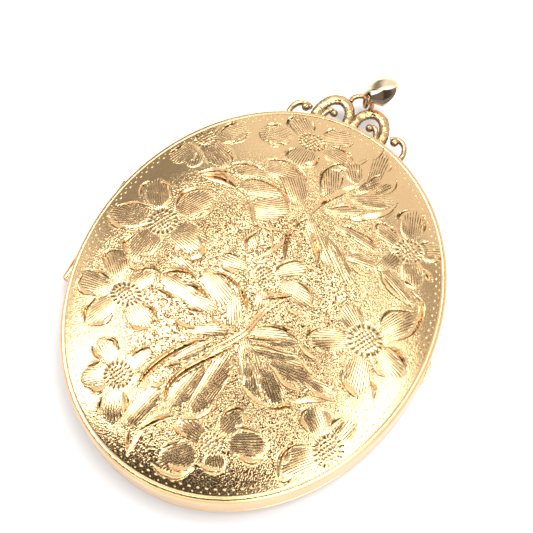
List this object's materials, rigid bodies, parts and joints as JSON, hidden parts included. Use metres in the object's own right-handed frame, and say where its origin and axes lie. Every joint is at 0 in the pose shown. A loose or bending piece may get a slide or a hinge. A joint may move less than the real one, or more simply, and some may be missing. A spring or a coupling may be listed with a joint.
{
  "type": "hinged oval locket",
  "caption": "Oval hinged locket with an engraved floral front, a scroll gallery, a jump ring and a folded bail; opens on a side hinge to framed picture cards.",
  "frame": {"origin": "middle of the flat on the back cover, on which the closed locket lies", "axes": "+Z out of the engraved front, +Y towards the bail, +X to the right seen from the front, so the hinge is on the -X side"},
  "size_m": [0.043, 0.0587, 0.0074],
  "materials": {
    "gold_engraved": "hand engraved, bright cuts on a fine matte ground",
    "gold_polished": "polished",
    "gold_scroll": "polished, slightly worn",
    "gold_pin": "drawn wire",
    "gold_pale": "bright polish",
    "acetate": "clear sheet",
    "card": "blank paper card"
  },
  "bodies": {
    "back_case": {"back_cover": "gold_polished", "snap_rim": "gold_polished", "photo_frame_back": "gold_polished", "glazing_back": "acetate", "photo_card_back": "card", "hinge_knuckle_1": "gold_polished", "hinge_knuckle_3": "gold_polished", "hinge_knuckle_5": "gold_polished", "hinge_pin": "gold_pin", "scroll_left": "gold_scroll", "scroll_right": "gold_scroll", "curl_left": "gold_scroll", "curl_right": "gold_scroll", "top_loop": "gold_scroll"},
    "front_case": {"front_cover": "gold_engraved", "photo_frame_front": "gold_polished", "glazing_front": "acetate", "photo_card_front": "card", "hinge_knuckle_2": "gold_polished", "hinge_knuckle_4": "gold_polished", "thumb_lip": "gold_polished"},
    "ring": {"jump_ring": "gold_scroll"},
    "bail_body": {"bail": "gold_pale"}
  },
  "joints": [
    {"name": "cover_hinge", "type": "hinge", "parent": "back_case", "child": "front_case", "pos_m": [-0.021, 0, 0.00245], "axis": [0, -1, 0], "range_deg": [0, 150]},
    {"name": "ring_swing", "type": "hinge", "parent": "back_case", "child": "ring", "pos_m": [0, 0.0316, 0.0023], "axis": [1, 0, 0], "range_deg": [-60, 5]},
    {"name": "bail_swing", "type": "hinge", "parent": "ring", "child": "bail_body", "pos_m": [0.00062, 0.03117, 0.00354], "axis": [0.3349, -0.9268, -0.17], "range_deg": [-3, 70]}
  ]
}
